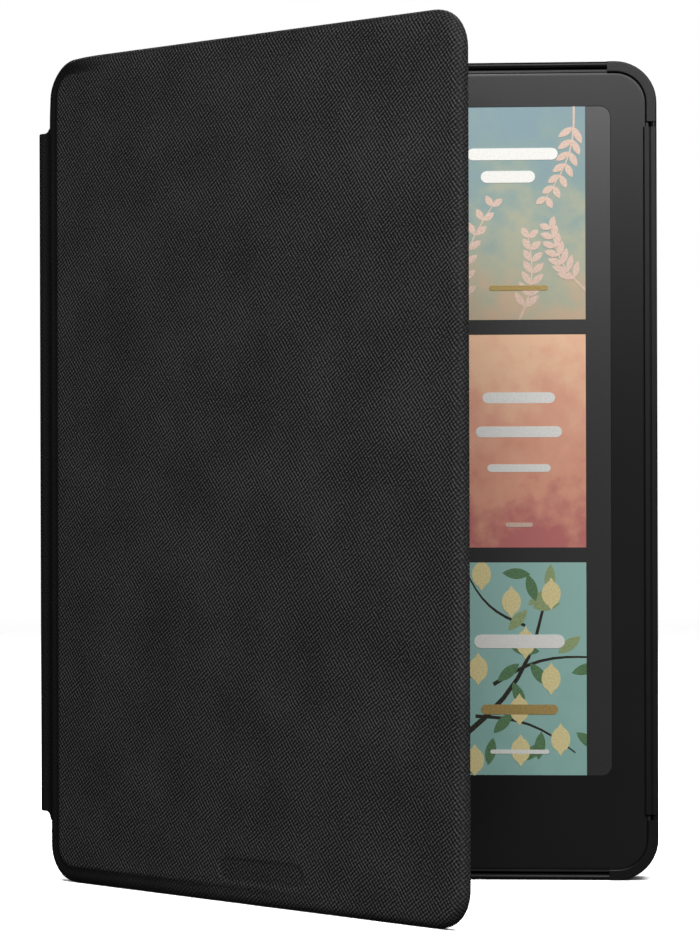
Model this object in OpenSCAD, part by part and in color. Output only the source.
// Seven-inch e-reader clipped into a folio case.
// The case has a rigid tray that holds the reader, a leather back, a narrow spine and a front cover.
// The reader stands upright: X is to the right, Y to the back, Z up, and the screen faces -Y.
// The origin is on the standing face, in the middle of the reader's width and thickness.
// The front cover stands open at the angle set below, and both folds and the power button move.
//
// Every piece is drawn in the plan: x to the right, y up the reader, z out of the screen.
// stand() then turns the plan upright.

/* [Reader] */
// Width of the reader
reader_w = 127.6; // [104:0.1:156]
// Height of the reader
reader_h = 176.7; // [146:0.1:214]
// Thickness of the reader
reader_t = 7.8; // [7.6:0.1:9.4]
// Corner radius of the reader, seen from the front
reader_corner_r = 7.5; // [5:0.1:9]
// Radius of the edge round the reader's back
reader_edge_r = 2.2; // [1.2:0.1:2.8]
// Thickness of the housing's side walls
housing_wall = 1.3; // [1:0.05:1.6]
// Thickness of the housing's back
housing_floor = 0.9; // [0.8:0.05:1.05]
// Width of the ledge inside the housing's walls, which carries the frame
housing_ledge = 1.3; // [1.1:0.05:1.6]
// Rim of the housing that shows round the front lens
lens_border = 0.6; // [0.4:0.05:0.9]

/* [Display] */
// Thickness of the front lens
lens_t = 0.7; // [0.5:0.05:0.85]
// Thickness of the glue sheet under the lens
glue_t = 0.15; // [0.1:0.05:0.2]
// Thickness of the touch sensor
touch_t = 0.2; // [0.15:0.05:0.25]
// Thickness of the light guide
guide_t = 0.45; // [0.35:0.05:0.55]
// Thickness of the electronic paper film
film_t = 0.25; // [0.2:0.05:0.3]
// Thickness of the display's glass backplane
backplane_t = 0.35; // [0.3:0.05:0.45]
// Thickness of the foam behind the display
foam_t = 0.2; // [0.15:0.05:0.3]
// Width of the bezel at the sides of the screen
side_bezel = 8.4; // [7.5:0.1:11]
// Height of the bezel above the screen
top_bezel = 8.05; // [7.5:0.05:11]
// Height of the bezel below the screen
bottom_bezel = 21.25; // [18:0.05:26]
// How far the display's glass runs past the screen it shows
display_margin = 2.6; // [2:0.1:3]

/* [Inside the reader] */
// Thickness of the frame's plate
frame_plate_t = 0.6; // [0.5:0.05:0.75]
// Width of the frame's raised rim, which the lens is glued to
frame_rim_w = 2.2; // [1.6:0.1:2.6]
// Thickness of the seal between the frame and the housing
seal_t = 0.4; // [0.3:0.05:0.55]
// Width of the battery
battery_w = 62; // [50:1:74]
// Height of the battery
battery_h = 80; // [66:1:84]
// Diameter of the wireless charging coil
coil_d = 44; // [36:1:48]
// Thickness of the main board
board_t = 0.8; // [0.6:0.1:1]
// Height of the main board
board_h = 42; // [38:1:46]
// Space between the main board and the frame's plate
board_gap = 1.4; // [1.3:0.05:1.6]
// Diameter of the screws that hold the frame
frame_screw_d = 1.6; // [1.4:0.1:1.8]
// Diameter of the screws that hold the main board
board_screw_d = 1.4; // [1.2:0.1:1.6]

/* [Bottom edge] */
// Width of the power button
button_w = 9; // [7:0.5:11]
// Thickness of the power button
button_t = 2.4; // [2:0.1:2.8]
// How far the power button travels
button_travel = 0.35; // [0.2:0.05:0.5]
// How far the power button stands out of the housing
button_proud = 0.45; // [0.4:0.05:0.6]
// Distance from the middle of the reader to the power button
button_x = 16; // [14:0.5:18]
// Width of the charging socket's mouth
usb_w = 8.34; // [8.3:0.01:8.4]
// Height of the charging socket's mouth
usb_t = 2.56; // [2.5:0.01:2.6]
// Depth of the charging socket
usb_depth = 6.2; // [6:0.1:6.6]

/* [Tray of the case] */
// Gap between the reader and the tray's walls
tray_fit = 0.35; // [0.2:0.05:0.5]
// Thickness of the tray's walls
tray_wall = 1.35; // [1:0.05:1.8]
// Thickness of the tray's back
tray_floor = 1.2; // [0.9:0.1:1.6]
// Radius of the edge round the tray's back
tray_edge_r = 1.0; // [0.6:0.1:1.4]
// Thickness of the soft pad between the reader and the tray
pad_t = 0.4; // [0.3:0.1:0.8]
// How far the tray's lips stand in front of the screen's face
lip_rise = 0.8; // [0.6:0.05:1]
// How far the side lips reach over the reader
side_lip = 1.25; // [0.8:0.05:1.6]
// How far the corner clips reach over the reader
corner_lip = 0.75; // [0.5:0.05:1]
// Distance from the end of each side lip to the end of the tray
lip_end = 14.5; // [12:0.5:18]
// Gap between the tray's lips and the reader's face
lip_gap = 0.08; // [0.05:0.01:0.15]

/* [Leather folio] */
// Thickness of the leather
leather_t = 0.9; // [0.7:0.05:1.1]
// Thickness of the lining
lining_t = 0.5; // [0.4:0.05:0.6]
// Thickness of the stiff board in the front cover
cover_board_t = 1.6; // [1.3:0.1:2]
// How much taller the front cover is than the tray
cover_over = 1.0; // [0:0.1:1.5]
// Corner radius of the front cover
cover_corner_r = 8; // [7:0.5:10]
// Radius of the front cover's outer edge
cover_edge_r = 1.0; // [0.6:0.1:1.2]
// Gap between the closed cover and the tray's lips
cover_gap = 0.3; // [0.2:0.05:0.6]
// Width of the leather turned in over the cover's inner edge
turn_in = 3.2; // [2.5:0.1:5]
// Thickness of the stiff strip in the spine
spine_board_t = 0.9; // [0.8:0.05:1.1]
// Distance from each end of the spine to the end of the tray
spine_end = 15; // [12:0.5:20]
// Gap between the spine and the tray's wall when the cover is closed
spine_gap = 0.55; // [0.4:0.05:0.8]
// Gap along each fold
fold_gap = 0.15; // [0.1:0.05:0.2]
// Distance from the front fold to the cover's own edge
fold_reach = 2.2; // [1.9:0.1:2.8]

/* [Pose] */
// How far the spine has swung out from the closed case, in degrees
spine_open = 12.5; // [0:0.5:180]
// How far the cover has opened about the spine, in degrees
cover_open = 30.5; // [0:0.5:180]

/* [Hidden] */
$fn = 72;

// Heights in the plan, from the middle of the reader's thickness
face_z = reader_t / 2;
back_z = -reader_t / 2;
lens_z = face_z - lens_t;
glue_z = lens_z - glue_t;
touch_z = glue_z - touch_t;
guide_z = touch_z - guide_t;
film_z = guide_z - film_t;
backplane_z = film_z - backplane_t;
foam_z = backplane_z - foam_t;
plate_z = foam_z - frame_plate_t;
ledge_z = plate_z - seal_t;
floor_z = back_z + housing_floor;
board_top_z = plate_z - board_gap;
board_z = board_top_z - board_t;
pad_z = back_z - pad_t;
tray_z = pad_z - tray_floor;
case_back_z = tray_z - leather_t;
lip_z = face_z + lip_gap;
lip_top_z = face_z + lip_rise;

// The tray round the reader, and the reader's place in it
tray_side = tray_fit + tray_wall;
tray_w = reader_w + 2 * tray_side;
tray_h = reader_h + 2 * tray_side;
tray_r = reader_corner_r + tray_side;
reader_y = tray_side;

// The display and what is round it
screen_w = reader_w - 2 * side_bezel;
screen_h = reader_h - top_bezel - bottom_bezel;
screen_y = reader_y + bottom_bezel;
display_w = screen_w + 2 * display_margin;
display_h = screen_h + 2 * display_margin;
display_y = screen_y - display_margin;
inside_w = reader_w - 2 * (housing_wall + housing_ledge);
inside_h = reader_h - 2 * (housing_wall + housing_ledge);
inside_y = reader_y + housing_wall + housing_ledge;
inside_r = reader_corner_r - housing_wall - housing_ledge;
slip = 0.1;                    // clearance of a piece that drops into a pocket
skin = 0.12;                   // thickness of a flexible circuit
frame_w = reader_w - 2 * (housing_wall + slip);
frame_h = reader_h - 2 * (housing_wall + slip);
frame_y = reader_y + housing_wall + slip;
frame_r = reader_corner_r - housing_wall - slip;

// The main board, with a tongue that reaches the bottom wall
board_margin = 5;
board_w = inside_w - 2 * board_margin;
board_y = inside_y + 9;
tongue_w = 2 * button_x + button_w + 2;
tongue_y = inside_y + 1.6;
usb_shell_t = 3.1;
usb_shell_w = 8.94;
usb_gap = 0.15;                // rubber between the socket and the housing
usb_z = floor_z + usb_gap + usb_shell_t / 2;
usb_y = reader_y + 0.15;
usb_length = 7.35;
light_x = button_x / 2 + 2;
light_d = 1.5;
button_z = usb_z;
button_fit = 0.15;
button_flange = 0.8;
button_flange_t = 0.6;
button_inner_y = inside_y + 0.1;
plunger = 0.6;                 // length of the plunger behind the button's flange
shield_h = 1.15;
chip_t = 0.8;
boss_d = 4;

// Screws
screw_spread = inside_w / 2 - 5.5;
frame_screw_x = [-screw_spread, -screw_spread * 0.55, screw_spread * 0.55, screw_spread];
frame_screw_y = inside_y + 4.5;
board_screw_x = board_w / 2 - 4;
board_screw_y = [board_y + 4, board_y + board_h - 4];
screw_head = 0.45;

// The battery and what lies behind it
coil_t = 0.4;
ferrite_t = 0.25;
tape_t = 0.15;
battery_gap = 0.25;
battery_y = board_y + board_h + 7;
battery_bottom_z = floor_z + coil_t + ferrite_t + battery_gap;
battery_t = plate_z - tape_t - battery_bottom_z;

// The folio: three leather panels, joined at two upright folds
cover_t = leather_t + cover_board_t + lining_t;
cover_h = tray_h + cover_over;
spine_t = leather_t + spine_board_t + lining_t;
fold_r = spine_t / 2;
back_fold = [-tray_w / 2 - spine_gap - fold_r, case_back_z + fold_r];
cover_inner_z = lip_top_z + cover_gap;
front_fold_z = cover_inner_z + cover_t - fold_r;
spine_length = front_fold_z - back_fold[1];
spine_h = tray_h - 2 * spine_end;
cover_w = tray_w / 2 - back_fold[0] - fold_reach + 0.1;
hinge_t = leather_t + lining_t;
fold_start = fold_r + fold_gap;

// What the cover hides
magnet_w = 3;
magnet_h = 20;
magnet_t = 1;
magnet_edge = 5;

// ---------- shapes that repeat ----------

// Turns the plan upright, so that its z points out of the screen along -Y
module stand() { rotate([90, 0, 0]) children(); }

// Flat rectangle with round corners, standing on y = 0 and centred across
module round_rect(w, h, r) {
    translate([-w / 2 + r, 0]) square([w - 2 * r, h]);
    translate([-w / 2, r]) square([w, h - 2 * r]);
    for (x = [-w / 2 + r, w / 2 - r], y = [r, h - r]) translate([x, y]) circle(r);
}

// Plate with round corners, from height z up by t
module plate(w, h, r, y, z, t) { translate([0, y, z]) linear_extrude(t) round_rect(w, h, r); }

// Plain block, centred across
module block(w, h, x, y, z, t) { translate([x - w / 2, y, z]) cube([w, h, t]); }

// Carries a profile round a rectangle with round corners.
// The profile's x runs outward from the middle of each corner's arc, and its y is the plan's z.
module carry_round(w, h, r) {
    for (c = [[w / 2 - r, h - r, 0], [-w / 2 + r, h - r, 90], [-w / 2 + r, r, 180], [w / 2 - r, r, 270]])
        translate([c[0], c[1], 0]) rotate([0, 0, c[2]]) rotate_extrude(angle = 90) children();
    for (s = [[w / 2 - r, h - r, 0, h - 2 * r], [-w / 2 + r, h - r, 90, w - 2 * r],
              [-w / 2 + r, r, 180, h - 2 * r], [w / 2 - r, r, 270, w - 2 * r]])
        translate([s[0], s[1], 0]) rotate([0, 0, s[2]]) rotate([90, 0, 0]) linear_extrude(s[3]) children();
}

// Half of a slab's section: low and high are the radii of its lower and upper outer edges
module edge_section(r, z0, z1, low, high) {
    translate([0, z0 + low]) square([r, z1 - z0 - low - high]);
    translate([0, z0]) square([r - low, low]);
    translate([0, z1 - high]) square([r - high, high]);
    translate([r - low, z0 + low]) circle(low);
    translate([r - high, z1 - high]) circle(high);
}

// Slab with round corners and rounded edges, between heights z0 and z1
module soft_slab(w, h, r, z0, z1, low, high) {
    carry_round(w, h, r) edge_section(r, z0, z1, low, high);
    translate([-w / 2 + r, r, z0]) cube([w - 2 * r, h - 2 * r, z1 - z0]);
}

// Stadium: a bar with half-round ends, lying across
module stadium(w, t) {
    square([w - t, t], center = true);
    for (x = [-1, 1]) translate([x * (w - t) / 2, 0]) circle(t / 2);
}

// Stadium pushed up the reader from y by h, at height z
module stadium_bar(w, t, x, y, z, h) {
    translate([x, y + h, z]) rotate([90, 0, 0]) linear_extrude(h) stadium(w, t);
}

// Chip with its corners cut, seated on z
module chip(w, h, x, y, z, t) {
    cut = 0.4;
    translate([x - w / 2, y, z]) linear_extrude(t)
        polygon([[cut, 0], [w - cut, 0], [w, cut], [w, h - cut], [w - cut, h], [cut, h], [0, h - cut], [0, cut]]);
}

// Pin along z, from z0 to z1
module pin(d, x, y, z0, z1) { translate([x, y, z0]) cylinder(d = d, h = z1 - z0); }

// ---------- display ----------

module front_lens() {
    r = reader_corner_r - lens_border;
    color([0.03, 0.03, 0.03])
        stand() plate(reader_w - 2 * lens_border, reader_h - 2 * lens_border, r, reader_y + lens_border,
                      lens_z, lens_t);
}

// A ring that bonds the lens to the frame's rim, and a sheet that bonds it to the touch sensor
module lens_glue() {
    color([0.8, 0.8, 0.78]) stand() difference() {
        plate(frame_w, frame_h, frame_r, frame_y, glue_z, glue_t);
        difference() {
            block(frame_w - 2 * frame_rim_w, frame_h - 2 * frame_rim_w, 0, frame_y + frame_rim_w,
                  glue_z - 1, glue_t + 2);
            block(display_w, display_h, 0, display_y, glue_z - 2, glue_t + 4);
        }
    }
}

module touch_sensor() {
    color([0.55, 0.6, 0.6]) stand() block(display_w, display_h, 0, display_y, touch_z, touch_t);
}

module light_guide() {
    color([0.85, 0.9, 0.92]) stand() block(display_w, display_h, 0, display_y, guide_z, guide_t);
}

strip_z = backplane_z + 0.05;

// A flexible strip with its row of white and amber lights, under the guide's lower edge
module front_light_strip() {
    lights = 17;
    step = (display_w - 12) / (lights - 1);
    color([0.9, 0.75, 0.35]) stand() {
        block(display_w - 4, 3, 0, display_y - slip - 3, strip_z, skin);
        for (i = [0 : lights - 1])
            block(2.2, 0.9, (i - (lights - 1) / 2) * step, display_y - slip - 0.9, strip_z + skin,
                  touch_z - strip_z - skin);
    }
}

module paper_film() {
    color([0.75, 0.76, 0.72]) stand() block(display_w - 1, display_h - 1, 0, display_y + 0.5, film_z, film_t);
}

module display_backplane() {
    color([0.3, 0.33, 0.33]) stand() block(display_w, display_h, 0, display_y, backplane_z, backplane_t);
}

module display_foam() {
    color([0.12, 0.12, 0.12]) stand() block(display_w - 6, display_h - 6, 0, display_y + 3, foam_z, foam_t);
}

// Slots in the frame's plate that the two flexible cables pass through
cable_x = 24;
touch_x = -30;
cable_w = 26;
touch_w = 10;
slot_y = display_y - 7;
slot_h = 1.6;

// One flexible cable: along the front of the plate, through its slot, and back up to its connector
module flex(w, x, y_top, z_top) {
    lower_z = board_top_z + 1.0;
    block(w, y_top - slot_y - 0.6, x, slot_y + 0.6, z_top, skin);
    block(w, skin, x, slot_y + 0.6, lower_z, z_top - lower_z + skin);
    block(w, 6.5, x, slot_y + 0.6, lower_z, skin);
}

module display_cable() {
    color([0.75, 0.5, 0.2]) stand() flex(cable_w, cable_x, display_y + 2.5, backplane_z - skin);
}

module touch_cable() {
    color([0.7, 0.45, 0.2]) stand() flex(touch_w, touch_x, display_y, touch_z + 0.02);
}

// ---------- frame and housing ----------

// Plate with a raised rim, cable slots, bosses for the board and holes for its own screws
module mid_frame() {
    color([0.45, 0.46, 0.47]) stand() difference() {
        union() {
            carry_round_at(frame_w, frame_h, frame_r, frame_y) {
                translate([0, plate_z]) square([frame_r, frame_plate_t]);
                translate([frame_r - frame_rim_w, plate_z]) square([frame_rim_w, glue_z - plate_z]);
            }
            block(frame_w - 2 * frame_r, frame_h - 2 * frame_r, 0, frame_y + frame_r, plate_z, frame_plate_t);
            for (x = [-board_screw_x, board_screw_x], y = board_screw_y) pin(boss_d, x, y, board_top_z, plate_z);
        }
        for (x = frame_screw_x) pin(frame_screw_d + 0.2, x, frame_screw_y, plate_z - 1, foam_z + 1);
        for (x = [-board_screw_x, board_screw_x], y = board_screw_y)
            pin(board_screw_d, x, y, board_top_z - 1, plate_z + frame_plate_t / 2);
        block(cable_w + 2, slot_h, cable_x, slot_y, plate_z - 1, frame_plate_t + 2);
        block(touch_w + 2, slot_h, touch_x, slot_y, plate_z - 1, frame_plate_t + 2);
    }
}

module carry_round_at(w, h, r, y) { translate([0, y, 0]) carry_round(w, h, r) children(); }

module frame_screws() {
    tip_z = floor_z + 0.5;
    color([0.7, 0.7, 0.72]) stand() for (x = frame_screw_x) {
        pin(frame_screw_d * 1.9, x, frame_screw_y, foam_z, foam_z + screw_head);
        pin(frame_screw_d, x, frame_screw_y, tip_z, foam_z);
    }
}

// Seal that the frame sits on, along the housing's ledge
module housing_seal() {
    color([0.1, 0.1, 0.11]) stand() carry_round_at(frame_w, frame_h, frame_r, frame_y)
        translate([frame_r - housing_ledge + 2 * slip, ledge_z]) square([housing_ledge - 3 * slip, seal_t]);
}

// Tub with rounded back edges, a ledge for the frame, screw bosses and the openings of the bottom edge
module back_housing() {
    high = 0.3;
    color([0.05, 0.05, 0.055]) stand() difference() {
        union() {
            difference() {
                translate([0, reader_y, 0])
                    soft_slab(reader_w, reader_h, reader_corner_r, back_z, face_z, reader_edge_r, high);
                plate(inside_w, inside_h, inside_r, inside_y, floor_z, reader_t);
                plate(reader_w - 2 * housing_wall, reader_h - 2 * housing_wall, reader_corner_r - housing_wall,
                      reader_y + housing_wall, ledge_z, reader_t);
                plate(reader_w - 2 * lens_border, reader_h - 2 * lens_border, reader_corner_r - lens_border,
                      reader_y + lens_border, lens_z, reader_t);
            }
            for (x = frame_screw_x) pin(boss_d, x, frame_screw_y, floor_z - 0.1, plate_z);
        }
        for (x = frame_screw_x) pin(frame_screw_d, x, frame_screw_y, floor_z + 0.5, plate_z + 1);
        stadium_bar(usb_shell_w + 2 * usb_gap, usb_shell_t + 2 * usb_gap, 0, reader_y - 1, usb_z,
                    inside_y - reader_y + 2);
        stadium_bar(button_w + 2 * button_fit, button_t + 2 * button_fit, -button_x, reader_y - 1, button_z,
                    inside_y - reader_y + 2);
        translate([light_x, reader_y - 1, usb_z]) rotate([-90, 0, 0])
            cylinder(d = light_d + 0.1, h = inside_y - reader_y + 2);
    }
}

// ---------- battery and charging ----------

module battery_pack() {
    wrap = min(0.8, battery_t / 2 - 0.1);
    color([0.75, 0.76, 0.78]) stand() {
        translate([0, battery_y, 0])
            soft_slab(battery_w, battery_h, 2, battery_bottom_z, battery_bottom_z + battery_t, wrap, wrap);
        block(battery_w - 16, 3.5, 0, battery_y - 3.5, battery_bottom_z + 0.8, 1);
    }
}

module battery_tape() {
    color([0.9, 0.9, 0.85]) stand() for (x = [-1, 1])
        block(battery_w / 3.5, battery_h - 8, x * battery_w / 4, battery_y + 4, plate_z - tape_t, tape_t);
}

// Two wires from the battery's own circuit down to its plug on the main board
module battery_lead() {
    wire = 0.5;
    wire_x = battery_w / 2 - 22;
    plug_y = board_y + board_h - 5;
    wire_z = board_top_z + 0.9;
    tab_top = battery_bottom_z + 1.8;
    color([0.7, 0.1, 0.1]) stand() {
        for (i = [0, 1]) {
            translate([wire_x + 0.8 * i, plug_y + 3, wire_z]) rotate([-90, 0, 0])
                cylinder(d = wire, h = battery_y - plug_y - 4.5, $fn = 24);
            translate([wire_x + 0.8 * i, battery_y - 1.75, tab_top])
                cylinder(d = wire, h = wire_z - tab_top + wire / 2, $fn = 24);
        }
        block(4.5, 3.2, wire_x + 0.4, plug_y, board_top_z + 0.45, 0.8);
    }
}

module ferrite_sheet() {
    color([0.2, 0.2, 0.2]) stand()
        pin(coil_d + 2, 0, battery_y + battery_h / 2, floor_z + coil_t, floor_z + coil_t + ferrite_t);
}

// Flat winding, with clear rings between its groups of turns
module charging_coil() {
    rings = 6;
    band = coil_d / 2 / 10;
    color([0.75, 0.42, 0.2]) stand() translate([0, battery_y + battery_h / 2, floor_z])
        for (i = [0 : rings - 1]) difference() {
            cylinder(r = coil_d / 2 - i * band, h = coil_t);
            translate([0, 0, -1]) cylinder(r = coil_d / 2 - i * band - 0.7 * band, h = coil_t + 2);
        }
}

// ---------- main board ----------

module main_board() {
    color([0.05, 0.25, 0.12]) stand() difference() {
        union() {
            plate(board_w, board_h, 1.5, board_y, board_z, board_t);
            block(tongue_w, board_y - tongue_y + 2, 0, tongue_y, board_z, board_t);
        }
        block(usb_shell_w + 0.2, usb_y + usb_length + 0.2 - tongue_y + 1, 0, tongue_y - 1, board_z - 1, board_t + 2);
        for (x = [-board_screw_x, board_screw_x], y = board_screw_y)
            pin(board_screw_d + 0.2, x, y, board_z - 1, board_top_z + 1);
    }
}

module board_screws() {
    color([0.7, 0.7, 0.72]) stand() for (x = [-board_screw_x, board_screw_x], y = board_screw_y) {
        pin(board_screw_d * 1.9, x, y, board_z - screw_head, board_z);
        pin(board_screw_d, x, y, board_z, plate_z);
    }
}

// Rows of parts on the board, measured up from the board's lower edge
chip_row = board_y + 18;
radio_row = board_y + 8;

module processor() { color([0.1, 0.1, 0.11]) stand() chip(12, 12, -26, chip_row, board_top_z, chip_t); }

module memory_chip() { color([0.12, 0.12, 0.13]) stand() chip(10, 8, -12, chip_row + 2, board_top_z, chip_t); }

module flash_chip() { color([0.12, 0.12, 0.12]) stand() chip(11.5, 9, 8, chip_row + 2, board_top_z, chip_t); }

module power_chip() { color([0.1, 0.1, 0.1]) stand() chip(6, 6, 22, chip_row + 4, board_top_z, chip_t); }

module radio_module() { color([0.6, 0.6, 0.62]) stand() chip(9, 7, board_w / 2 - 17, radio_row + 3, board_top_z, 0.9); }

// Thin cans over the processor with its memory, and over the radio
module shield_cans() {
    wall = 0.15;
    cans = [[-20, chip_row - 2, 32, 16], [board_w / 2 - 17, radio_row + 1.5, 12, 10]];
    color([0.72, 0.73, 0.74]) stand() for (c = cans) difference() {
        block(c[2], c[3], c[0], c[1], board_top_z, shield_h);
        block(c[2] - 2 * wall, c[3] - 2 * wall, c[0], c[1] + wall, board_top_z - 1, 1 + shield_h - wall);
    }
}

// Sockets for the display, the touch sensor, the battery and the antenna
module board_connectors() {
    color([0.85, 0.83, 0.75]) stand() {
        block(cable_w + 2, 3, cable_x, slot_y + 3.5, board_top_z, 1.0);
        block(touch_w + 2, 3, touch_x, slot_y + 3.5, board_top_z, 1.0);
        block(6, 3.6, battery_w / 2 - 21.6, board_y + board_h - 5.2, board_top_z, 0.45);
        pin(2, antenna_x, antenna_plug_y, board_top_z, board_top_z + 0.4);
    }
}

// Graphite sheet that spreads the processor's heat over the frame's plate
module heat_spreader() {
    color([0.25, 0.25, 0.26]) stand() block(34, 18, -20, chip_row - 3, board_top_z + shield_h, 0.1);
}

// Senses the magnet in the cover, so that the reader wakes when it opens
module hall_sensor() { color([0.1, 0.1, 0.1]) stand() chip(2.9, 1.6, wake_x, wake_y - 0.8, board_top_z, chip_t); }

// Reads the room's light through the lens's top bezel
module light_sensor() {
    color([0.2, 0.15, 0.1]) stand() block(3, 1.2, 18, display_y + display_h + 0.4, foam_z, 0.8);
}

antenna_x = board_w / 2 - 8;
antenna_plug_y = board_y + board_h - 8;
antenna_y = inside_y + inside_h - 16;

module wireless_antenna() {
    color([0.7, 0.5, 0.2]) stand() block(8, 14, antenna_x, antenna_y, plate_z - 0.2, 0.2);
}

// Thin coaxial lead from the board's upper corner to the antenna
module antenna_cable() {
    lead_d = 0.8;
    lead_z = board_top_z + 0.4 + lead_d / 2;
    color([0.15, 0.15, 0.15]) stand() {
        translate([antenna_x, antenna_plug_y, lead_z]) rotate([-90, 0, 0])
            cylinder(d = lead_d, h = antenna_y - antenna_plug_y + 2, $fn = 24);
    }
}

// ---------- bottom edge ----------

// Steel shell of the charging socket, open at its mouth
module usb_receptacle() {
    color([0.7, 0.7, 0.72]) stand() difference() {
        stadium_bar(usb_shell_w, usb_shell_t, 0, usb_y, usb_z, usb_length);
        stadium_bar(usb_w, usb_t, 0, usb_y - 1, usb_z, usb_depth + 1);
    }
}

module usb_tongue() {
    color([0.05, 0.05, 0.05]) stand() block(6.2, 4.4, 0, usb_y + usb_depth - 4.4, usb_z - 0.35, 0.7);
}

// Rubber ring that keeps water out round the socket
module usb_gasket() {
    color([0.08, 0.08, 0.08]) stand() difference() {
        stadium_bar(usb_shell_w + 2 * usb_gap, usb_shell_t + 2 * usb_gap, 0, reader_y + 0.5, usb_z, 1.2);
        stadium_bar(usb_shell_w, usb_shell_t, 0, reader_y, usb_z, 3);
    }
}

// Cap, retaining flange and plunger in one piece
module power_button() {
    color([0.04, 0.04, 0.04]) stand() {
        stadium_bar(button_w, button_t, -button_x, reader_y - button_proud, button_z,
                    button_inner_y - reader_y + button_proud);
        stadium_bar(button_w + 2 * button_flange, button_t + 0.6, -button_x, button_inner_y, button_z,
                    button_flange_t);
        block(2, plunger, -button_x, button_inner_y + button_flange_t, board_top_z + 0.05, 0.3);
    }
}

// Soft frame in the button's slot, kept clear of the moving cap
module button_seal() {
    seal_y = button_inner_y + button_flange_t + button_travel + 0.2;
    seal_w = 1.5;
    rubber_t = 0.3;
    color([0.1, 0.1, 0.1]) stand() difference() {
        stadium_bar(button_w + 2 * seal_w, button_t + 0.9, -button_x, seal_y, button_z, rubber_t);
        stadium_bar(button_w - 2, button_t + 0.4, -button_x, seal_y - 1, button_z, rubber_t + 2);
    }
}

// Side-push switch on the board's tongue
module power_switch() {
    body_y = button_inner_y + button_flange_t + plunger + button_travel + 0.05;
    color([0.65, 0.65, 0.67]) stand() block(4.5, 2.4, -button_x, body_y, board_top_z, 1.1);
}

// Clear rod that carries the charge light to the bottom edge
module charge_light() {
    color([0.9, 0.6, 0.2]) stand() translate([light_x, reader_y + 0.1, usb_z]) rotate([-90, 0, 0])
        cylinder(d = light_d, h = inside_y - reader_y + 0.8);
}

// ---------- tray of the case ----------

// Section of the tray's wall and rounded back edge, out from a corner's middle
module tray_section() {
    inner = reader_corner_r + tray_fit;
    rim = tray_wall / 2;
    difference() {
        union() {
            translate([0, tray_z + tray_edge_r]) square([tray_r, face_z - tray_z - tray_edge_r - rim * 0.4]);
            translate([0, tray_z]) square([tray_r - tray_edge_r, tray_edge_r]);
            translate([tray_r - tray_edge_r, tray_z + tray_edge_r]) circle(tray_edge_r);
            translate([inner + rim, face_z - rim * 0.4]) circle(rim);
        }
        translate([-1, pad_z]) square([inner + 1, reader_t * 2]);
    }
}

// Section of a side lip: a rounded bar with a groove between it and the wall's rim
module side_lip_section(reach) {
    inner = reader_corner_r + tray_fit;
    nose = (lip_top_z - lip_z) / 2;
    tip = inner - tray_fit - reach;
    groove = 0.22;
    difference() {
        union() {
            translate([tip + nose, lip_z]) square([inner - tip - nose + tray_wall / 2, lip_top_z - lip_z]);
            translate([tip + nose, lip_z + nose]) circle(nose, $fn = 32);
            translate([inner + tray_wall / 2, lip_z]) square([tray_wall / 2 - 0.35, lip_top_z - lip_z]);
            translate([tray_r - 0.35, lip_top_z - 0.35]) circle(0.35, $fn = 32);
            translate([inner + tray_wall / 2, face_z - 0.6]) square([tray_wall / 2, lip_top_z - 0.35 - face_z + 0.6]);
        }
        translate([inner - 0.1, lip_top_z]) circle(groove, $fn = 24);
    }
}

// Section of a corner clip: a wall that rises past the face and turns a little inward
module clip_section() {
    inner = reader_corner_r + tray_fit;
    round_r = 0.35;
    tip = inner - tray_fit - corner_lip;
    union() {
        translate([inner, face_z - 1]) square([tray_wall, lip_top_z - round_r - face_z + 1]);
        translate([tip + round_r, lip_z]) square([inner - tip, lip_top_z - lip_z]);
        translate([tip + round_r, lip_top_z - round_r]) circle(round_r, $fn = 32);
        translate([tip, lip_z]) square([inner - tip, lip_top_z - lip_z - round_r]);
        translate([inner, lip_z]) square([tray_wall - round_r, lip_top_z - lip_z]);
        translate([tray_r - round_r, lip_top_z - round_r]) circle(round_r, $fn = 32);
    }
}

// Clip in the top right corner, with a long leg down the side and a short one along the top
module corner_clip() {
    clip_gap = 1.2;
    top_leg = 1.6;
    rotate_extrude(angle = 90) clip_section();
    rotate([90, 0, 0]) linear_extrude(lip_end - tray_r - clip_gap) clip_section();
    rotate([0, 0, 90]) mirror([0, 1, 0]) rotate([90, 0, 0]) linear_extrude(top_leg) clip_section();
}

// Opening in the tray's bottom wall for the socket, the light and a fingertip on the button.
// A strip of the standing face is left whole behind it.
notch_left = -button_x - button_w / 2 - 5;
notch_right = light_x + 7;
notch_strip = 0.3;
notch_z = tray_z + tray_edge_r + notch_strip;

module case_tray() {
    color([0.045, 0.045, 0.05]) stand() difference() {
        union() {
            carry_round(tray_w, tray_h, tray_r) tray_section();
            translate([-tray_w / 2 + tray_r, tray_r, tray_z])
                cube([tray_w - 2 * tray_r, tray_h - 2 * tray_r, tray_floor]);
            for (side = [0, 180]) translate([0, tray_h / 2, 0]) rotate([0, 0, side])
                translate([tray_w / 2 - tray_r, tray_h / 2 - lip_end, 0]) rotate([90, 0, 0])
                    linear_extrude(tray_h - 2 * lip_end) side_lip_section(side_lip);
            for (across = [0, 1], down = [0, 1])
                translate([0, tray_h / 2, 0]) mirror([across, 0, 0]) mirror([0, down, 0])
                    translate([tray_w / 2 - tray_r, tray_h / 2 - tray_r, 0]) corner_clip();
        }
        translate([notch_left, -1, notch_z]) cube([notch_right - notch_left, tray_side + 1.5, reader_t * 2]);
    }
}

module tray_pad() {
    inset = 4;
    color([0.12, 0.12, 0.13]) stand()
        plate(reader_w - 2 * inset, reader_h - 2 * inset, reader_corner_r - inset, reader_y + inset, pad_z, pad_t);
}

// ---------- folio ----------

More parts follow.
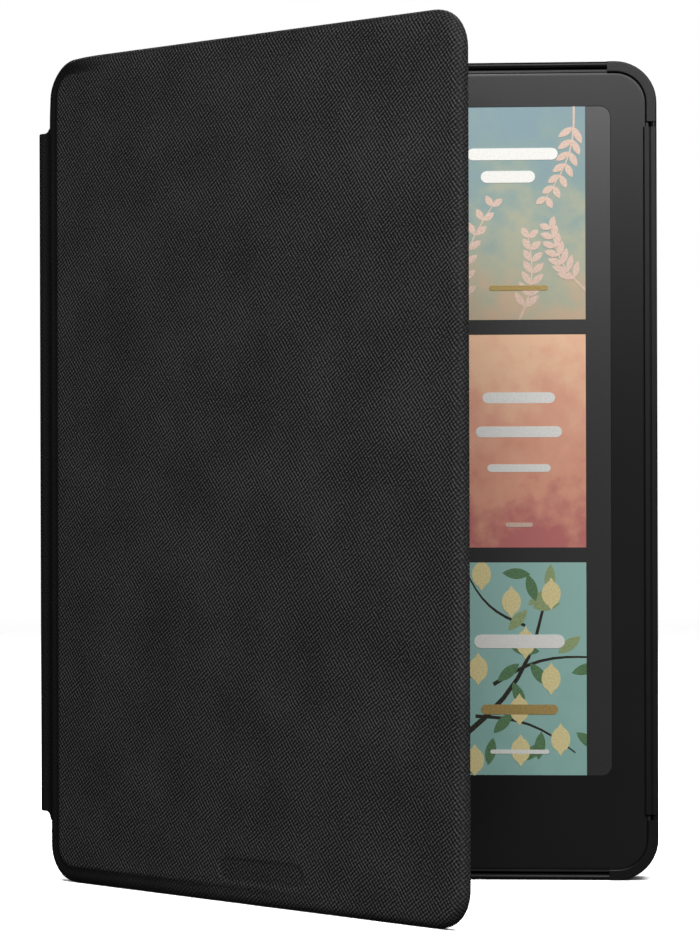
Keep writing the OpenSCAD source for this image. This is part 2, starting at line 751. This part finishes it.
// Back panel, glued to the tray, with a tab that runs out to the back fold
module back_leather() {
    inset = tray_edge_r - 0.2;
    tab_x = back_fold[0] + fold_start;
    color([0.07, 0.07, 0.07]) stand() {
        translate([0, inset, 0])
            soft_slab(tray_w - 2 * inset, tray_h - 2 * inset, tray_r - inset, case_back_z, tray_z, 0.4, 0.05);
        translate([tab_x, spine_end, case_back_z])
            cube([tray_r - tray_w / 2 - tab_x, spine_h, leather_t]);
    }
}

// Draws the closed spine in its own place, with the back fold at the origin, then swings it out
module place_spine() {
    stand() translate([back_fold[0], 0, back_fold[1]]) rotate([0, -spine_open, 0]) children();
}

// Draws the closed cover with the front fold at the origin, then swings it out with the spine
module place_cover() {
    place_spine() translate([0, 0, spine_length]) rotate([0, -cover_open, 0]) children();
}

// Outer leather of the spine, with the two round beads that it folds on
module spine_leather() {
    color([0.07, 0.07, 0.07]) place_spine() translate([0, spine_end, 0]) {
        for (z = [0, spine_length]) translate([0, 0, z]) rotate([-90, 0, 0]) cylinder(r = fold_r, h = spine_h);
        translate([-fold_r, 0, 0]) cube([leather_t, spine_h, spine_length]);
    }
}

module spine_board() {
    ends = fold_r + 0.35;
    color([0.5, 0.45, 0.38]) place_spine()
        translate([leather_t - fold_r, spine_end + 2, ends])
            cube([spine_board_t, spine_h - 4, spine_length - 2 * ends]);
}

module spine_lining() {
    ends = fold_r + 0.35;
    color([0.13, 0.13, 0.14]) place_spine()
        translate([leather_t + spine_board_t - fold_r, spine_end + 1, ends])
            cube([lining_t, spine_h - 2, spine_length - 2 * ends]);
}

// The cover's slab in its own place: the edge nearest the fold is at x = fold_reach
module cover_place() { translate([fold_reach + cover_w / 2, 0, 0]) children(); }

cover_low = fold_r - cover_t;          // the cover's inner face, from the front fold
board_inset = 1.2;

// Tab of leather between the front fold and the cover, with a hollow at each end
module hinge_tab() {
    hollow = fold_reach - fold_start;
    translate([0, spine_end, fold_r - hinge_t]) linear_extrude(hinge_t) {
        translate([fold_start, 0]) square([fold_reach - fold_start + 1, spine_h]);
        difference() {
            translate([fold_reach - hollow, -hollow]) square([hollow + 1, spine_h + 2 * hollow]);
            for (y = [-hollow, spine_h + hollow]) translate([fold_reach - hollow, y]) circle(hollow, $fn = 32);
        }
    }
}

// Leather wrapped round the board, with its edges turned in to the lining
module cover_leather() {
    color([0.07, 0.07, 0.07]) place_cover() {
        difference() {
            union() {
                cover_place() soft_slab(cover_w, cover_h, cover_corner_r, cover_low, fold_r, 0.5, cover_edge_r);
                hinge_tab();
            }
            cover_place() {
                plate(cover_w - 2 * board_inset, cover_h - 2 * board_inset, cover_corner_r - board_inset,
                      board_inset, cover_low + lining_t, cover_board_t);
                plate(cover_w - 2 * turn_in, cover_h - 2 * turn_in, cover_corner_r - turn_in,
                      turn_in, cover_low - 1, 1 + lining_t);
            }
        }
    }
}

module magnet_spots(gap) {
    for (y = [cover_h * 0.3, cover_h * 0.7])
        block(magnet_w + gap, magnet_h + gap, cover_w / 2 - magnet_edge, y - (magnet_h + gap) / 2,
              cover_low + lining_t, magnet_t);
}

// Place of the wake magnet over the reader's sensor, on the closed cover and on the reader
wake_x = -board_w / 2 + 6;
wake_y = board_y + board_h - 12;
wake_d = 6;

module wake_spot(gap) {
    x = wake_x - back_fold[0] - fold_reach - cover_w / 2;
    translate([x, wake_y, cover_low + lining_t]) cylinder(d = wake_d + gap, h = magnet_t);
}

module cover_board() {
    color([0.5, 0.45, 0.38]) place_cover() cover_place() difference() {
        plate(cover_w - 2 * board_inset, cover_h - 2 * board_inset, cover_corner_r - board_inset,
              board_inset, cover_low + lining_t, cover_board_t);
        magnet_spots(slip);
        wake_spot(slip);
    }
}

module cover_lining() {
    color([0.13, 0.13, 0.14]) place_cover() cover_place()
        plate(cover_w - 2 * turn_in, cover_h - 2 * turn_in, cover_corner_r - turn_in, turn_in, cover_low, lining_t);
}

module closure_magnets() { color([0.7, 0.7, 0.72]) place_cover() cover_place() magnet_spots(0); }

module wake_magnet() { color([0.7, 0.7, 0.72]) place_cover() cover_place() wake_spot(0); }

// ---------- what is drawn ----------

front_lens();
lens_glue();
touch_sensor();
light_guide();
front_light_strip();
paper_film();
display_backplane();
display_foam();
display_cable();
touch_cable();
mid_frame();
frame_screws();
housing_seal();
back_housing();
battery_pack();
battery_tape();
battery_lead();
ferrite_sheet();
charging_coil();
main_board();
board_screws();
processor();
memory_chip();
flash_chip();
power_chip();
radio_module();
shield_cans();
board_connectors();
heat_spreader();
hall_sensor();
light_sensor();
wireless_antenna();
antenna_cable();
usb_receptacle();
usb_tongue();
usb_gasket();
power_button();
button_seal();
power_switch();
charge_light();
case_tray();
tray_pad();
back_leather();
spine_leather();
spine_board();
spine_lining();
cover_leather();
cover_board();
cover_lining();
closure_magnets();
wake_magnet();
